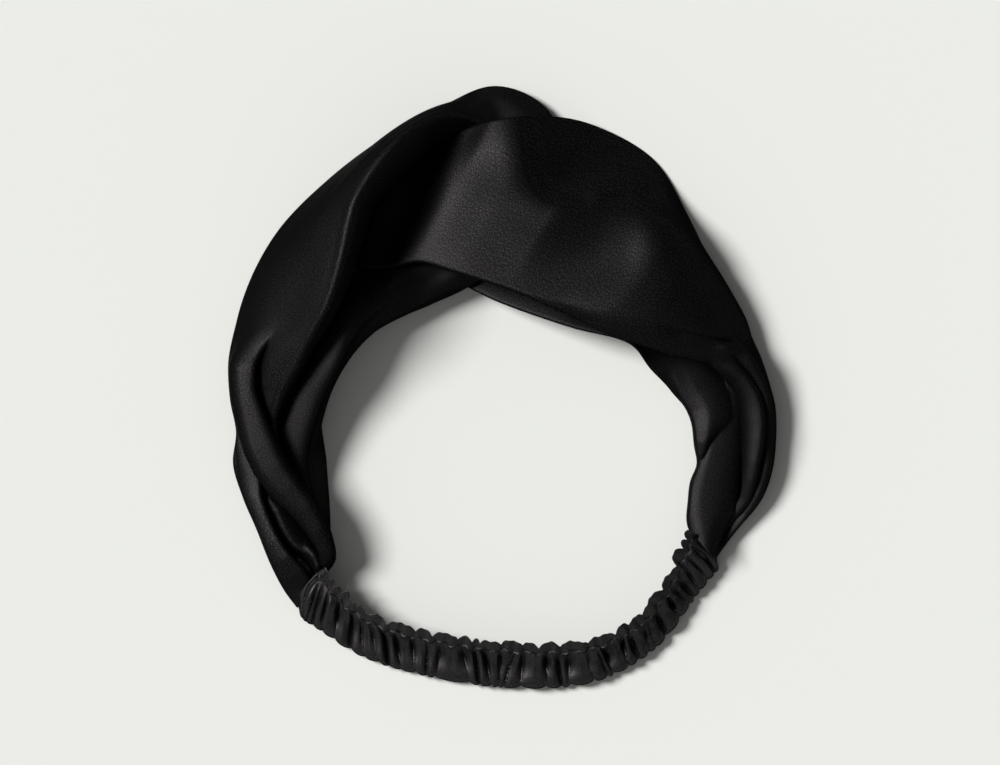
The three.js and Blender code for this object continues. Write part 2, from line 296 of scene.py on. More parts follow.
def lay_bundle(sheet, rows, bundle, weight):
    """Lays the rows of the sheet between two limits over a heap of rolls."""
    first, last, outer, inner, rolls, ground, floor_edge = bundle
    on = np.nonzero((rows >= first) & (rows <= last) & (weight > 0))[0]
    share = (rows[on] - first) / (last - first)
    near, far = rail(outer, share)[:, None], rail(inner, share)[:, None]
    across = np.linspace(0, 1, BUNDLE_STEPS + 1)[None, :, None]
    places = near + (far - near) * across
    lowest = SATIN_WALL / 2
    height = np.maximum(heap(places, rolls, ground), lowest)
    from_edge = np.abs(across[:, :, 0] - floor_edge)
    height = lowest + (height - lowest) * ease(from_edge, *FLOOR_TURN)
    rings = np.concatenate([places, height[:, :, None]], axis=2)
    walked = np.array([paces(ring) for ring in rings])
    walked /= walked[:, -1:]
    brush = np.hanning(2 * SMOOTHED_RINGS + 3)[1:-1]
    padded = np.pad(walked, ((SMOOTHED_RINGS, SMOOTHED_RINGS), (0, 0)), mode="edge")
    walked = np.array([np.convolve(column, brush / brush.sum(), "valid") for column in padded.T]).T
    even = np.linspace(0, 1, CELLS_ACROSS + 1)
    laid = sheet.copy()
    for i, ring, length in zip(on, rings, walked):
        drawn = np.stack([np.interp(even, length, ring[:, k]) for k in range(3)], axis=1)
        laid[i] = sheet[i] * (1 - weight[i]) + drawn * weight[i]
    return laid


FOLD_START = (-0.02, 0.25)  # share of its line over which a fold rises from nothing, at either end
FOLD_ROWS = 0.4  # rows over which it fades at its first and last row


def press_folds(sheet, rows, folds):
    """Lifts and sinks the sheet along each fold's stroke; folds die away at their two ends."""
    pressed = sheet.copy()
    for rise, left, right, first, last, stroke in folds:
        on = (rows >= first) & (rows <= last)
        aside, share = beside(np.array(stroke, float), sheet[on][:, :, :2])
        shape = np.exp(-(aside / np.where(aside > 0, left, right)) ** 2)
        ends = ease(share, *FOLD_START) * ease(1 - share, *FOLD_START)
        edge = ease(rows[on], first, first + FOLD_ROWS) * ease(rows[on], last, last - FOLD_ROWS)
        pressed[on, :, 2] += rise * shape * ends * edge[:, None]
    return pressed


def pressed_tube(sheet):
    """The wall of a tube pressed flat round the sheet: rings of points that meet at both hems."""
    along, across = np.gradient(sheet, axis=0), np.gradient(sheet, axis=1)
    normal = unit(np.cross(across, along))
    half = np.full(sheet.shape[:2], SATIN_WALL / 2)
    half[:, [0, -1]] = 0
    faces = [sheet + normal * (half * sign)[:, :, None] for sign in (1, -1)]
    rings = np.concatenate([faces[0], faces[1][:, -2:0:-1]], axis=1)
    rings[:, :, 2] = np.maximum(rings[:, :, 2], FLOOR_CLEAR)
    return rings


def cloth_piece(name, rings, material):
    """A closed mesh from rings of points in mm, with the cloth's own lengths as its UV map."""
    count, around = rings.shape[:2]
    i, j = np.meshgrid(np.arange(count - 1), np.arange(around), indexing="ij")
    ahead = (j + 1) % around
    here, beyond = i * around, (i + 1) * around
    quads = np.stack([here + j, here + ahead, beyond + ahead, beyond + j], axis=-1).reshape(-1, 4)
    half = around // 2
    k = np.arange(half)
    cap = np.stack([k, (around - k) % around, around - k - 1, k + 1], axis=1)
    tail = cap[:, ::-1] + (count - 1) * around
    faces = [list(dict.fromkeys(face)) for face in [*quads.tolist(), *cap.tolist(), *tail.tolist()]]
    mesh = bpy.data.meshes.new(name)
    mesh.from_pydata((rings.reshape(-1, 3) * MM).tolist(), [], faces)
    mesh.polygons.foreach_set("use_smooth", [True] * len(mesh.polygons))
    lengthways = paces(rings.mean(axis=1)) * MM
    girth = np.minimum(np.arange(around), around - np.arange(around))
    crosswise = girth * np.linalg.norm(np.diff(rings, axis=1), axis=2).mean() * MM
    corner = np.zeros(len(mesh.loops), int)
    mesh.loops.foreach_get("vertex_index", corner)
    cloth_uv = np.stack([lengthways[corner // around], crosswise[corner % around]], axis=1)
    mesh.uv_layers.new(name="cloth").data.foreach_set("uv", cloth_uv.ravel())
    mesh.materials.append(material)
    piece = bpy.data.objects.new(name, mesh)
    bpy.context.collection.objects.link(piece)
    return piece


def satin_weave():
    """Shader group: the fine grain of satin, from the cloth's own lengths along and across."""
    group = bpy.data.node_groups.new("satin_weave", "ShaderNodeTree")
    for socket, way, kind in (
        ("Cloth", "INPUT", "NodeSocketVector"),
        ("Grain Size", "INPUT", "NodeSocketFloat"),
        ("Dark", "INPUT", "NodeSocketColor"),
        ("Light", "INPUT", "NodeSocketColor"),
        ("Dullness", "INPUT", "NodeSocketFloat"),
        ("Color", "OUTPUT", "NodeSocketColor"),
        ("Roughness", "OUTPUT", "NodeSocketFloat"),
        ("Height", "OUTPUT", "NodeSocketFloat"),
    ):
        group.interface.new_socket(socket, in_out=way, socket_type=kind)
    nodes, link = group.nodes, group.links.new
    given, result = nodes.new("NodeGroupInput"), nodes.new("NodeGroupOutput")
    scale = nodes.new("ShaderNodeMath")
    scale.operation = "DIVIDE"
    scale.inputs[0].default_value = 1
    link(given.outputs["Grain Size"], scale.inputs[1])
    grain = nodes.new("ShaderNodeTexNoise")
    grain.inputs["Detail"].default_value = 2
    grain.inputs["Roughness"].default_value = 0.65
    link(given.outputs["Cloth"], grain.inputs["Vector"])
    link(scale.outputs[0], grain.inputs["Scale"])
    cloud = nodes.new("ShaderNodeTexNoise")
    cloud.inputs["Scale"].default_value = 60
    cloud.inputs["Detail"].default_value = 3
    link(given.outputs["Cloth"], cloud.inputs["Vector"])
    spark = nodes.new("ShaderNodeMapRange")
    spark.inputs["From Min"].default_value = 0.46
    spark.inputs["From Max"].default_value = 0.76
    link(grain.outputs["Fac"], spark.inputs["Value"])
    colour = nodes.new("ShaderNodeMix")
    colour.data_type = "RGBA"
    link(spark.outputs["Result"], colour.inputs["Factor"])
    link(given.outputs["Dark"], colour.inputs["A"])
    link(given.outputs["Light"], colour.inputs["B"])
    link(colour.outputs["Result"], result.inputs["Color"])
    sway = nodes.new("ShaderNodeMapRange")
    sway.inputs["To Min"].default_value = -0.06
    sway.inputs["To Max"].default_value = 0.06
    link(cloud.outputs["Fac"], sway.inputs["Value"])
    rough = nodes.new("ShaderNodeMath")
    link(given.outputs["Dullness"], rough.inputs[0])
    link(sway.outputs["Result"], rough.inputs[1])
    link(rough.outputs[0], result.inputs["Roughness"])
    link(grain.outputs["Fac"], result.inputs["Height"])


def satin(name, dark, light, dullness):
    """Black satin: a dark ground, threads that catch the light, and a soft broad sheen."""
    material = bpy.data.materials.new(name)
    material.use_nodes = True
    nodes, link = material.node_tree.nodes, material.node_tree.links.new
    surface = nodes["Principled BSDF"]
    cloth = nodes.new("ShaderNodeUVMap")
    cloth.uv_map = "cloth"
    weave = nodes.new("ShaderNodeGroup")
    weave.node_tree = bpy.data.node_groups["satin_weave"]
    weave.inputs["Grain Size"].default_value = GRAIN_SIZE
    weave.inputs["Dark"].default_value = dark
    weave.inputs["Light"].default_value = light
    weave.inputs["Dullness"].default_value = dullness
    link(cloth.outputs["UV"], weave.inputs["Cloth"])
    link(weave.outputs["Color"], surface.inputs["Base Color"])
    link(weave.outputs["Roughness"], surface.inputs["Roughness"])
    surface.inputs["Metallic"].default_value = 1
    surface.inputs["Specular Tint"].default_value = (0.12, 0.12, 0.12, 1)
    bump = nodes.new("ShaderNodeBump")
    bump.inputs["Strength"].default_value = 0.5
    bump.inputs["Distance"].default_value = 0.0001
    link(weave.outputs["Height"], bump.inputs["Height"])
    link(bump.outputs["Normal"], surface.inputs["Normal"])
    return material


satin_weave()
wrap_satin = satin("wrap_satin", WRAP_DARK, WRAP_LIGHT, WRAP_DULLNESS)
left_sheet, left_rows = wrap_sheet(LEFT_SECTIONS, turn=1, cells=LEFT_CELLS)
left_sheet = lay_bundle(left_sheet, left_rows, LEFT_BUNDLE, ease(left_rows, *LEFT_BUNDLE_FADE))
left_sheet = press_folds(left_sheet, left_rows, LEFT_FOLDS)
left_wrap = cloth_piece("left_wrap_satin", pressed_tube(left_sheet), wrap_satin)
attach(left_wrap, "root")
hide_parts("left_wrap")

# Right wrap
# The same pressed satin tube as the left one. It spreads across the front as the broad panel, turns
# down behind the knot, and comes back underneath to the right temple on the crown side.
RIGHT_CELLS = ((0, 0.6), (4, 0.8), (9, 0.8), (12, 1), (15, 1.2), (17, 0.8), (23, 0.6))
# Sections from the casing and back, in the same columns as the left wrap's
RIGHT_SECTIONS = (
    (71.2, -57.6, 0.4, 67, -52.4, 9, 0.27, 1, 0.6, 0.5, 0.6, 50, 0.4),
    (82.5, -37, 0.4, 78, -34.8, 10, 0.27, 2, 0.6, 1, 4, 50, 0.4),
    (88.5, -17, 0.4, 83.5, -16.8, 12, 0.27, 2.5, 0.6, 1.25, 7, 50, 0.4),
    (87.3, 0, 0.4, 82, 1, 13, 0.27, 3, 0.6, 1.5, 7, 50, 0.4),
    (80.7, 17.7, 0.4, 74.5, 12.5, 20, 0.27, 4, 0.6, 2, 8, 30, 1),
    (70, 37, 0.4, 55.7, 19.5, 28, 0.2, 7.5, 0.6, 8, 9, 26, 1.5),
    (61.5, 56, 0.4, 36.7, 24, 31, 0.2, 7.5, 0.6, 9, 7, 28, 1.5),
    (50, 75.7, 0.4, 18.3, 29, 29.5, 0.14, 3.5, 0.32, 5.5, 3, 35, 0.8),
    (30, 87.4, 3, 0, 34, 28, 0.3, 4, 0.56, 6.5, 0.6, 50, 0.4),
    (11, 90.3, 18, -16.7, 39.3, 25.5, 0.27, 3.5, 0.6, 2.5, 0.6, 50, 0.4),
    (-7, 88, 22, -28.5, 42.5, 22, 0.27, 1.5, 0.6, 0.5, 0.6, 50, 0.4),
    (-26.5, 79, 10, -39.5, 40.5, 17, 0.27, -1, 0.6, -2, 0.6, 50, 0.4),
    (-43.5, 62, 7.5, -49, 40.8, 14, 0.27, 0, 0.6, 0, 0.6, 50, 0.4),
    (-30, 63, 3.5, -39, 42.5, 4, 0.27, 0, 0.6, 0, 0.6, 50, 0.4),
    (-6.7, 66, 1.5, -20, 38, 4.5, 0.27, 0, 0.6, 0, 0.6, 50, 0.4),
    (13.3, 66, 0.8, -2, 29.5, 11, 0.27, -1, 0.6, -0.5, 0.6, 50, 0.4),
    (35.7, 61, 0.4, 22, 21, 18, 0.27, -2, 0.6, -1, 0.6, 50, 0.4),
    (54.3, 44.3, 0.4, 41.5, 15.5, 18.5, 0.27, -3, 0.6, -1.5, 0.6, 50, 0.4),
    (69, 23.3, 3, 49.2, 6.8, 11, 0.27, -3, 0.6, -1.5, 0.6, 50, 0.4),
    (77, 4.3, 6, 60, -5.3, 9, 0.27, -2, 0.6, -1, 0.6, 50, 0.4),
    (78.5, -14.7, 4.5, 63.3, -19, 1, 0.27, -4, 0.6, -2, 0.6, 50, 0.4),
    (76.5, -32.3, 3.5, 63.5, -30.7, 1.5, 0.27, -4, 0.6, -2, 0.6, 50, 0.4),
    (73, -48.3, 3, 62, -43.5, 7, 0.27, -3, 0.6, -1.5, 0.6, 50, 0.4),
    (70.3, -56.6, 0.6, 60.1, -48.8, 14, 0.27, -1, 0.6, -0.5, 0.6, 50, 0.4),
)
# Towards the casing the outgoing leg lies in a ridge over an outer band, and the leg that comes back
# in a narrow turned flap beside a broad flat fold: the same columns as the left wrap's bundle
RIGHT_OUT = (0, 4.5, (
    (70.4, -58.4), (77.2, -49.1), (86.4, -37.8), (90, -28.1), (91.2, -18.1),
    (91, -7.4), (89.5, -0.8), (86.2, 9.6), (82.5, 18.2), (78.2, 25.9),
), (
    (65.9, -51.4), (73.5, -44.4), (79.2, -37.4), (80.2, -26.8), (79.9, -17.4),
    (79.2, -8.4), (76.9, -1.4), (72.2, 4.6), (66.2, 7.9), (58.2, 11.6),
), (
    (1.8, 2, 0, (
        (69.5, -53.6, 5.5, 3, 1.2, 3, 3), (73.5, -48.1, 5.5, 3.4, 1.2, 3, 3),
        (77.2, -43.8, 6, 4, 1.2, 3, 3), (81.5, -38.1, 8.5, 4.5, 1.2, 5, 4),
        (83.7, -31.4, 11.5, 4.6, 1.2, 6, 5), (84.9, -25.4, 13, 5, 1.2, 6, 5),
        (86.2, -18.1, 14, 6, 1.2, 6, 5), (86.5, -11.4, 14.6, 6.5, 1.2, 6, 5),
        (85.5, -5.4, 15, 6, 1.2, 5.5, 4.5), (83.2, -0.8, 15.4, 5, 1.6, 5.5, 3.5),
        (79.9, 3, 16, 4, 2.4, 6, 2.5), (75.5, 6.2, 17, 3.4, 3.4, 6, 2),
        (69.5, 9.4, 18.6, 3, 4.4, 6, 1.5), (61.2, 13, 20.5, 3, 5, 6, 1),
    )),
    (1.6, 2.4, 0, (
        (70.2, -58.1, 5, 3, 1.2, 2, 4), (76.2, -49.8, 5, 3, 1.5, 2, 4),
        (81.2, -43.1, 5.8, 3.5, 2, 3, 5), (85.2, -36.4, 8, 3.5, 2.2, 3, 7),
        (87.9, -28.1, 9.5, 3.5, 2.2, 3, 8.5), (89, -18.1, 10, 3.5, 2.2, 3, 9.5),
        (89.2, -9.8, 11, 3.5, 2.2, 3, 10.5), (87.9, -3.1, 12.5, 3, 2.2, 2.5, 12),
        (84.9, 4.2, 14.6, 3, 2.5, 1.5, 14), (81.2, 10.4, 17, 3, 3, 1, 16.5),
        (77, 14.8, 19.4, 4, 4, 1, 19), (71.2, 17.6, 21.8, 5, 6, 1, 21.5),
        (62.9, 19.6, 24, 6, 8, 1, 23.5),
    )),
), 4, 0)
RIGHT_BACK = (18, 23, (
    (70.2, 22.6), (76.5, 11.9), (80.9, 2.6), (82.2, -6.4), (82.5, -15.4),
    (82.7, -24.1), (82.4, -33.1), (80.4, -41.2), (76, -48.4), (72.6, -53.4),
    (70, -57.2),
), (
    (50.4, 6.1), (55.5, -0.8), (60.9, -6.4), (63.5, -12.1), (64.5, -19.8),
    (65.4, -26.1), (63.2, -32.1), (62.4, -38.8), (62, -44.1), (62.5, -47.1),
    (63.9, -49.4),
), (
    (1.4, 1.6, 0, (
        (65.9, -27.1, 7, 1.5, 0.8, 0.8, 2), (66.9, -23.1, 9.6, 3, 0.9, 1.4, 2.8),
        (67.9, -19.1, 11, 4.4, 1.4, 2.1, 3), (68.9, -15.1, 11.2, 5.6, 4, 2.7, 3.5),
        (69.2, -11.1, 10.7, 6.2, 10, 3, 5), (68.2, -7.1, 9.9, 6, 12, 2.8, 6.5),
        (65.5, -2.8, 9.3, 5.6, 13, 1.8, 6.5), (61.5, 1.9, 9, 5.6, 13, 1, 6.5),
        (56.5, 6.6, 9, 6, 13, 1, 6.5), (51.2, 10.9, 9.4, 7, 13, 1.5, 6.5),
    )),
    (1.7, 2.4, 0, (
        (67.9, -55.4, 12.5, 5, 4.4, 5, 11), (67.2, -49.1, 11.8, 5, 7.2, 4, 9.5),
        (66.5, -42.4, 11, 4.6, 11.5, 2.4, 7), (66.9, -35.8, 10.2, 4.6, 12.5, 2.2, 6),
        (68.2, -29.1, 9.6, 3.6, 12, 2, 5.5), (69.9, -22.4, 9.2, 2.6, 11, 1.4, 5),
        (71.5, -15.8, 9.2, 3, 10, 1.2, 5), (73.5, -9.1, 8.4, 4, 8, 1.6, 4.5),
        (74.2, -2.4, 7, 5, 7, 2, 3.5),
    )),
), 0.6, 1)
# Folds in the broad panel: rise, half width to the left and right, first and last row, line
RIGHT_FOLDS = (
    (6, 4.5, 14, 5.2, 10.2, (
        (5.9, 115.2), (5.2, 100.2), (5.5, 88.6), (6.2, 78.6), (8.5, 68.6), (13.9, 60.9),
        (22.9, 57.9), (34.5, 57.9), (46.2, 56.9), (56.9, 51.9), (66.2, 42.6), (76.2, 28.6),
    )),
    (3, 3.2, 2.8, 6, 8.6, ((26.9, 61.9), (34.2, 64.2), (41.5, 64.9), (49.5, 62.6))),
    (-3, 0.4, 5, 3.9, 6.5, ((51.2, 20.6), (59.5, 18.9), (68.5, 16.9), (76.2, 14.6), (81.5, 10.6))),
)
RIGHT_OUT_FADE, RIGHT_BACK_FADE = (4.3, 3.4), (18.1, 19)  # rows, as for the left bundle
right_sheet, right_rows = wrap_sheet(RIGHT_SECTIONS, turn=-1, cells=RIGHT_CELLS)
right_sheet = press_folds(right_sheet, right_rows, RIGHT_FOLDS)
right_sheet = lay_bundle(right_sheet, right_rows, RIGHT_OUT, ease(right_rows, *RIGHT_OUT_FADE))
right_sheet = lay_bundle(right_sheet, right_rows, RIGHT_BACK, ease(right_rows, *RIGHT_BACK_FADE))
right_wrap = cloth_piece("right_wrap_satin", pressed_tube(right_sheet), wrap_satin)
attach(right_wrap, "root")
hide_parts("right_wrap")

# Elastic casing
# A satin channel gathered on a flat elastic behind the head. A row of stitching above the elastic
# leaves a narrow scalloped frill, the cloth below it bunches into uneven puffs down to the floor, and
# both ends are open mouths drawn over the gathered ends of the wraps.
CASING_ROUTE = (  # the middle line seen from above, mm, and the lean of its face in degrees
    (-66.8, -64.4, 58),
    (-64.35, -67.8, 58),
    (-46.7, -81.3, 59),
    (-25, -88, 57),
    (5, -91.8, 56),
    (29, -90.3, 60),
    (47, -81, 66),
    (57, -68.5, 68),
    (65.2, -54.2, 60),
    (67.2, -50.4, 60),
)
CASING_START = -4.2  # station of the first point, mm along the elastic
CASING_HEM, CASING_STITCH = -11.5, 6.7  # up the leaning face from the middle line, mm
CASING_CELL = 0.35  # length of the mesh's cells, mm
CASING_TOP = 14.3  # height of the stitching at the two full ends, mm
CASING_SAG = 1.5  # how much lower it runs between them, mm
CASING_LOWEST = 0.3  # height of the cloth on the floor, mm
CASING_DARK = (0.034, 0.0318, 0.0325, 1)
CASING_LIGHT = (0.13, 0.122, 0.1245, 1)
CASING_DULLNESS = 0.5
# Hem to stitching: share of the way out from the stitching, and height in mm, where the cloth lies
# freely and at the two full ends
CASING_LOOSE = (
    (1, CASING_LOWEST), (1.03, 3.4), (0.92, 5.5), (0.74, 6.5), (0.56, 7.1),
    (0.4, 7.9), (0.26, 9.3), (0.14, 11), (0.06, 12.1), (0, 12.7),
)
CASING_FULL = (
    (1, CASING_LOWEST), (1, 3.8), (0.93, 6.6), (0.81, 8.9), (0.67, 10.8),
    (0.51, 12.3), (0.34, 13.4), (0.16, 14.1), (0, CASING_TOP),
)
# Where each crease between two puffs meets the stitching and the hem, mm along the elastic
CREASES = (
    (-9, -4), (-3.6, 0.6), (-0.6, 3.9), (1.2, 7.6), (4.4, 11.6), (8.9, 16), (14.3, 21.6),
    (17.9, 26.5), (22.6, 30.9), (26.6, 34), (31.1, 37.9), (37.6, 42.4), (42.9, 46.1), (47.8, 48.2),
    (54.7, 60.1), (59.4, 63.3), (61.9, 67.2), (68, 68.8), (74, 69.8), (76.3, 75.8), (84, 84),
    (87.5, 89.3), (91.4, 91.5), (98.6, 98.7), (101.7, 102.9), (103.3, 104.6), (112.3, 109.3),
    (114.2, 112.7), (120.7, 116.2), (122.9, 119.1), (126.9, 122.9), (134, 129.8), (136.4, 135.9),
    (141.4, 137.6), (145.9, 140.6), (148.6, 144.6), (152.6, 149), (161, 157),
)
FRILL_NOTCHES = (  # mm along the elastic
    -6, 0.5, 4, 7.6, 11.7, 15.2, 19.1, 28.2, 38.9, 44.7, 53.6, 58.6, 61.2, 68.5, 76.1, 81.4, 89,
    99.6, 110.4, 116.3, 123.1, 134.6, 144.1, 150.4, 153.6, 160,
)
FULL_LEFT, FULL_RIGHT = (16, 3), (143, 151)  # stations over which the casing fills up, mm
FULL_CALM = 0.7  # how much less the cloth wavers there
WIDE_LEFT, WIDE_RIGHT = (14, 2), (140, 150)  # stations over which it widens, mm
STITCH_INWARDS = (1.1, 0.5)  # how much further in the stitching runs at the left and right end, mm
FACE_SPARE = 0.9  # cloth beyond the width of the leaning face, mm
FACE_WIDENS = (2.2, 1.2)  # and more of it at the left and right end, mm
MOUTH_PULL, MOUTH_RUN = 1.5, 4  # how far the mouths are drawn in, and over what length, mm
SLANT_LEFT, SLANT_RIGHT = 5.6, 5  # how much shorter the hem is at either mouth, mm
SLANT_FROM_LEFT, SLANT_FROM_RIGHT = 9, 145  # stations where that begins, mm
SLANT_CURVE = 1.5
HEADING_STEP = 0.3  # mm ahead and behind that the route's heading is taken over

route_shares = np.linspace(0, 1, 3001)
route_walked = paces(rail(CASING_ROUTE, route_shares)[:, :2])
casing_end = route_walked[-1] + CASING_START  # station of the last point


def between(marks, stations):
    """The number of the gap between two marks each station lies in, its share of it and its width."""
    k = np.clip(np.searchsorted(marks, stations) - 1, 0, len(marks) - 2)
    width = marks[k + 1] - marks[k]
    return k, np.clip((stations - marks[k]) / width, 0, 1), width


def uneven(number, pace, start):
    """A value from -1 to 1 that differs from one puff, crease or scallop to the next."""
    return np.sin(pace * number + start)


def waver(stations, pace, drift, spread):
    """An irregular wave along the elastic, from -1 to 1."""
    return np.sin(stations * pace + drift * np.sin(stations / spread))


def fullness(stations):
    """How far the ends of the wraps fill the casing, from 0 to 1."""
    return np.maximum(ease(stations, *FULL_LEFT), ease(stations, *FULL_RIGHT))


def looseness(stations):
    """How freely the cloth wavers: less where the casing is full."""
    return 1 - FULL_CALM * fullness(stations)


def at_ends(stations, left, right):
    """A length that is nothing along the casing and grows to these at its left and right end."""
    return left * ease(stations, *WIDE_LEFT) + right * ease(stations, *WIDE_RIGHT)


def mouth_pull(stations):
    """How far the cloth is drawn in towards the rims of the two mouths, mm."""
    left = ease(stations, CASING_START + MOUTH_RUN, CASING_START)
    right = ease(stations, casing_end - MOUTH_RUN, casing_end)
    return MOUTH_PULL * np.maximum(left, right)


def mouth_slant(stations, share):
    """The mouths are cut obliquely: the hem, at share 0, ends short of the stitching, at share 1."""
    left = SLANT_LEFT * ease(stations, SLANT_FROM_LEFT, CASING_START)
    right = SLANT_RIGHT * ease(stations, SLANT_FROM_RIGHT, casing_end)
    return (left - right) * (1 - share) ** SLANT_CURVE


def stitch_sway(stations):
    """How far the row of stitching sways inwards, mm."""
    return 0.5 * waver(stations, 0.83, 0.7, 9) + 0.3 * np.sin(stations * 1.9 + 1.3)


def stitch_height(stations):
    """The height of the row of stitching, mm."""
    ripple = 0.35 * waver(stations, 1.45, 0.9, 6) * looseness(stations)
    return CASING_TOP - CASING_SAG * (1 - fullness(stations)) + ripple


def route_at(stations):
    """The route's x and y, mm, and the lean of its face, degrees."""
    return rail(CASING_ROUTE, np.interp(stations - CASING_START, route_walked, route_shares))


def casing_points(stations, shift, aside, height):
    """A column of points: this far on from each station, inwards of the stitching and up, mm."""
    at = stations + shift
    route = route_at(at)
    ahead = route_at(at + HEADING_STEP) - route_at(at - HEADING_STEP)
    inward = np.cross((0, 0, 1), unit(ahead * (1, 1, 0)))
    stitching = CASING_STITCH * np.cos(np.radians(route[:, 2])) + at_ends(stations, *STITCH_INWARDS)
    points = route * (1, 1, 0) + inward * (stitching + aside)[:, None]
    points[:, 2] = height
    return points


FACE_SHARES = (*np.linspace(0, 0.8, 34), *np.linspace(0.82, 1, 9))  # columns from hem to stitching
PUFF_LEAN = 0.3  # how far the fullest place of a puff may lie to one side
PUFF_ROUND = 0.38  # the less, the fuller a puff stands beside its creases
PUFF_VARIES = 0.12  # how much the heights of the puffs differ
CREASE_DEPTH, CREASE_VARIES = 0.42, 0.2  # share of the height a crease cuts away, and its spread
CREASE_PER_MM, WIDE_PUFF = 0.02, 7  # more of it for each mm of the puff's width, up to this width
FINE_FOLD = 0.28  # the small folds below the stitching, mm
HEM_BULGE = 1.5  # how far the puffs bulge at the hem, mm


def puff_columns(stations, inset):
    """The bunched face, from its hem on the floor up to the stitching."""
    full, pull = fullness(stations), mouth_pull(stations)
    creases = np.array(CREASES, float)
    lean = np.radians(route_at(stations)[:, 2])
    width = (CASING_STITCH - CASING_HEM) * np.cos(lean) + FACE_SPARE + at_ends(stations, *FACE_WIDENS)
    columns = []
    for share in FACE_SHARES:
        loose, filled = rail(CASING_LOOSE, [share])[0], rail(CASING_FULL, [share])[0]
        out, height = (free + (packed - free) * full for free, packed in zip(loose, filled))
        marks = creases[:, 0] + (creases[:, 1] - creases[:, 0]) * (1 - share)
        puff, part, gap = between(marks, stations)
        part = part ** (1 + PUFF_LEAN * uneven(puff, 2.3, 1))
        swell = np.sin(np.pi * part) ** PUFF_ROUND
        low = ease(share, 1.02, 0.6)
        # Every third crease runs up from the hem, and the others begin above it
        crease = puff + (part > 0.5)
        begins = crease % 3
        fade = np.where(begins == 0, 1, ease(share, 0.05 + 0.1 * begins, 0.45 + 0.15 * begins))
        depth = CREASE_DEPTH + CREASE_VARIES * uneven(crease, 5.1, 0.7)
        depth = depth + CREASE_PER_MM * np.minimum(gap, WIDE_PUFF)
        depth = depth * fade * (0.55 + 0.45 * low) * (1 - 0.4 * full) * (1 - share ** 8)
        size = 1 + PUFF_VARIES * uneven(puff, 1.7, 0.5) * low
        ripples = np.sin(2 * np.pi * part * (2 + puff % 2) + puff)
        fold = FINE_FOLD * ripples * np.exp(-((share - 0.75) / 0.25) ** 2) * looseness(stations)
        height = height * size * (1 - depth * (1 - swell)) + fold
        height = np.maximum(height - inset - pull, CASING_LOWEST + inset)
        bulge = HEM_BULGE * (swell - 0.55) * ease(share, 0.7, 0.1)
        aside = -out * width - bulge + stitch_sway(stations) * share ** 8 + inset + pull
        columns.append(casing_points(stations, mouth_slant(stations, share), aside, height))
    return columns


STITCH_GROOVE = ((0.05, 0.1), (0.15, 0.25), (0.25, 0.45))  # inwards and down, mm
FRILL = 4.9  # the scallops' full height up their leaning face, mm
FRILL_LEAN, FRILL_LEAN_VARIES = 40, 8  # degrees
FRILL_FOOT = (0.45, 0.3)  # inwards of the stitching and below it, mm
FRILL_HALF_WALL = 0.28  # at its foot, mm
FRILL_CURL = 0.5  # how far the middle of a scallop curls up, mm


def frill_columns(stations, inset):
    """The groove of the stitching, then the frill up its outer side and down its inner side."""
    sway, tilt_wave = stitch_sway(stations), np.sin(stations * 0.4 + 1)
    top = stitch_height(stations) - inset - mouth_pull(stations)
    columns = [casing_points(stations, 0, sway + aside, top - dip) for aside, dip in STITCH_GROOVE]
    scallop, part, gap = between(np.array(FRILL_NOTCHES, float), stations)
    arch = (1 - np.abs(2 * part - 1) ** 2.6) ** 0.7
    arch = arch * (0.82 + 0.18 * uneven(scallop, 2.9, 0)) * np.minimum(1, 0.55 + gap / 12)
    tall = FRILL * (0.4 + 0.6 * arch)
    tilt = np.radians(FRILL_LEAN + FRILL_LEAN_VARIES * tilt_wave)
    curl = FRILL_CURL * np.sin(np.pi * part)
    for side, shares in ((1, np.linspace(0.15, 1, 9)), (-1, np.linspace(1, 0.1, 7))):
        for share in shares:
            reach = tall * share if inset == 0 else 0 * tall
            thick = FRILL_HALF_WALL * side * (1 - 0.6 * share)
            aside = sway * (1 - 0.5 * share) + FRILL_FOOT[0]
            aside = aside + reach * np.cos(tilt) - thick * np.sin(tilt)
            if side < 0:
                aside = aside - 0.3 * inset
            height = top - FRILL_FOOT[1] + reach * np.sin(tilt) + thick * np.cos(tilt)
            columns.append(casing_points(stations, 0, aside, height + curl * share ** 2))
    return columns


BACK_SHARES = np.linspace(0, 1, 12)  # columns from the frill down to the floor
BACK_SHIFT = 2.1  # how far along the inner gathers lie from the outer creases, mm
BACK_GATHER = 0.7  # how far the inner gathers stand out, mm
BACK_TOP = 0.6  # below the stitching, mm


def back_columns(stations, inset):
    """The inner face, from the frill down to the floor."""
    full, pull = fullness(stations), mouth_pull(stations)
    top = stitch_height(stations) - BACK_TOP - pull
    gathers = between(np.array(CREASES, float)[:, 0] + BACK_SHIFT, stations)[1]
    columns = []
    for share in BACK_SHARES:
        gather = BACK_GATHER * np.sin(np.pi * gathers) ** 0.6 * math.sin(math.pi * share) ** 0.5
        loose, filled = 1.3 - 4.6 * share ** 1.2, 1.6 - 0.7 * share
        aside = loose + (filled - loose) * full + gather * looseness(stations) - inset - pull
        height = np.maximum(top * (1 - share) + CASING_LOWEST, CASING_LOWEST + inset)
        columns.append(casing_points(stations, mouth_slant(stations, 1 - share), aside, height))
    return columns


FLOOR_SHARES = (0.25, 0.5, 0.75)  # columns from the inner face to the hem


def casing_skin(stations, inset):
    """Points [station][round the section] of the casing's skin, or of the inside of its mouths."""
    columns = [
        *puff_columns(stations, inset), *frill_columns(stations, inset), *back_columns(stations, inset),
    ]
    floor_in, floor_out = columns[-1], columns[0]
    columns += [floor_in * (1 - share) + floor_out * share for share in FLOOR_SHARES]
    return np.stack(columns, axis=1) + LOOP_CENTRE


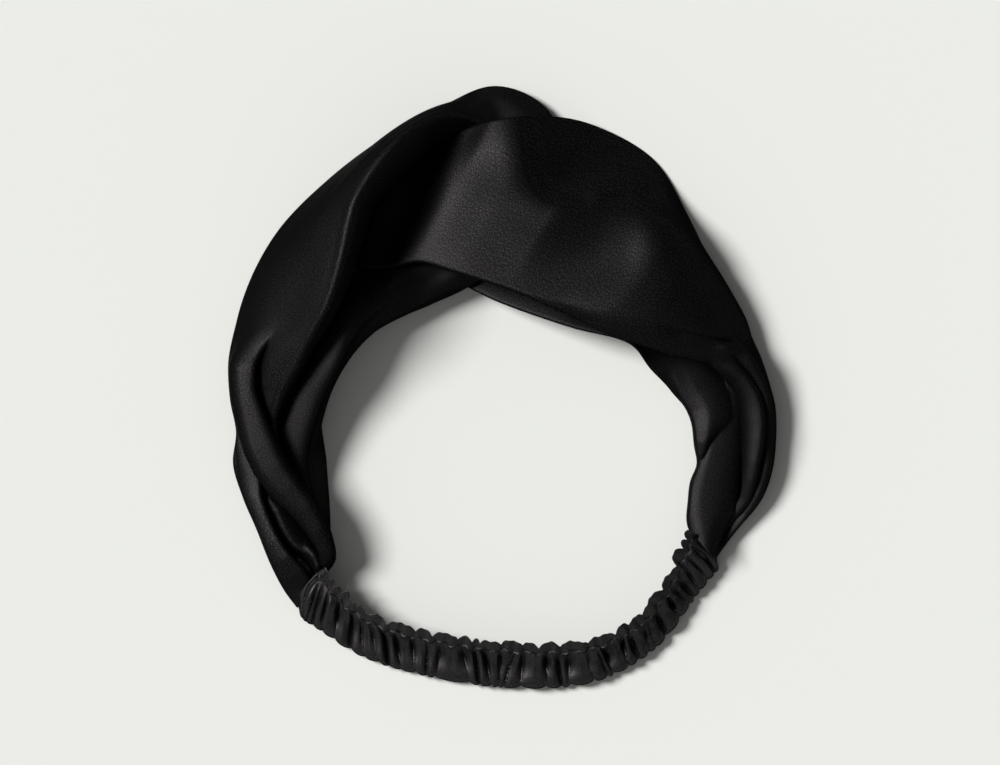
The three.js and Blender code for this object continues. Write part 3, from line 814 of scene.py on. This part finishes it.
MOUTH_WALL = 0.6  # mm
MOUTH_INSIDE = np.array((6, 3, 0.2))  # how deep the rings inside a mouth lie, mm

casing_stations = np.linspace(
    CASING_START, casing_end, round((casing_end - CASING_START) / CASING_CELL) + 1
)
casing_rings = np.concatenate([
    casing_skin(CASING_START + MOUTH_INSIDE, MOUTH_WALL),
    casing_skin(casing_stations, 0),
    casing_skin(casing_end - MOUTH_INSIDE[::-1], MOUTH_WALL),
])
casing_satin = satin("casing_satin", CASING_DARK, CASING_LIGHT, CASING_DULLNESS)
casing = cloth_piece("elastic_casing_satin", casing_rings[:, ::-1], casing_satin)
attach(casing, "root")
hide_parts("elastic_casing")

# Floor, light and camera
# A plain pale sheet under the band, one broad lamp high on its upper left and a weak fill that is
# strongest from its lower left, seen from straight above through a long lens.
FLOOR_COLOUR = (0.81, 0.82, 0.78, 1)
FLOOR_HALF = 3  # half of the sheet's side, m
LAMP_FROM = (-0.93, 0.37, 1.15)  # the way to the lamp
LAMP_STRENGTH = 3.5
LAMP_SPREAD = 20  # degrees
FILL_FROM = (-0.81, -0.58, 0)  # the side the fill is strongest from
FILL_LEAST, FILL_MOST = 0.04, 0.34
CAMERA_HEIGHT = 4.0  # m
SENSOR_WIDTH = 36  # mm
PIXELS_PER_MM = 3.0
PICTURE_WIDTH = 1000  # pixels
PICTURE_CENTRE = (-0.000467, 0.001083)  # the place under the picture's middle, m
floor_mesh = bpy.data.meshes.new("floor")
floor_corners = [(x * FLOOR_HALF, y * FLOOR_HALF, 0) for x, y in ((-1, -1), (1, -1), (1, 1), (-1, 1))]
floor_mesh.from_pydata(floor_corners, [], [(0, 1, 2, 3)])
paper = bpy.data.materials.new("pale_paper")
paper.use_nodes = True
paper_surface = paper.node_tree.nodes["Principled BSDF"]
paper_surface.inputs["Base Color"].default_value = FLOOR_COLOUR
paper_surface.inputs["Roughness"].default_value = 0.9
paper_surface.inputs["Specular IOR Level"].default_value = 0.1
floor_mesh.materials.append(paper)
floor = bpy.data.objects.new("floor", floor_mesh)
bpy.context.collection.objects.link(floor)

sun = bpy.data.lights.new("lamp", "SUN")
sun.energy = LAMP_STRENGTH
sun.angle = math.radians(LAMP_SPREAD)
lamp = bpy.data.objects.new("lamp", sun)
lamp.rotation_euler = (
    math.atan2(math.hypot(LAMP_FROM[0], LAMP_FROM[1]), LAMP_FROM[2]), 0,
    math.atan2(LAMP_FROM[0], -LAMP_FROM[1]),
)
bpy.context.collection.objects.link(lamp)
world = bpy.data.worlds.new("fill")
world.use_nodes = True
sky_nodes, sky_link = world.node_tree.nodes, world.node_tree.links.new
heading = sky_nodes.new("ShaderNodeTexCoord")
aim = sky_nodes.new("ShaderNodeVectorMath")
aim.operation = "DOT_PRODUCT"
aim.inputs[1].default_value = FILL_FROM
sky_link(heading.outputs["Generated"], aim.inputs[0])
fade = sky_nodes.new("ShaderNodeMapRange")
fade.inputs["From Min"].default_value = -1
fade.inputs["To Min"].default_value = FILL_LEAST
fade.inputs["To Max"].default_value = FILL_MOST
sky_link(aim.outputs["Value"], fade.inputs["Value"])
sky_nodes["Background"].inputs["Color"].default_value = (1, 1, 1, 1)
sky_link(fade.outputs["Result"], sky_nodes["Background"].inputs["Strength"])
bpy.context.scene.world = world
bpy.context.scene.view_settings.view_transform = "Standard"

lens = bpy.data.cameras.new("camera")
lens.sensor_width = SENSOR_WIDTH
lens.lens = SENSOR_WIDTH * CAMERA_HEIGHT / (PICTURE_WIDTH / PIXELS_PER_MM * MM)
camera = bpy.data.objects.new("camera", lens)
camera.location = (*PICTURE_CENTRE, CAMERA_HEIGHT)
bpy.context.collection.objects.link(camera)
bpy.context.scene.camera = camera
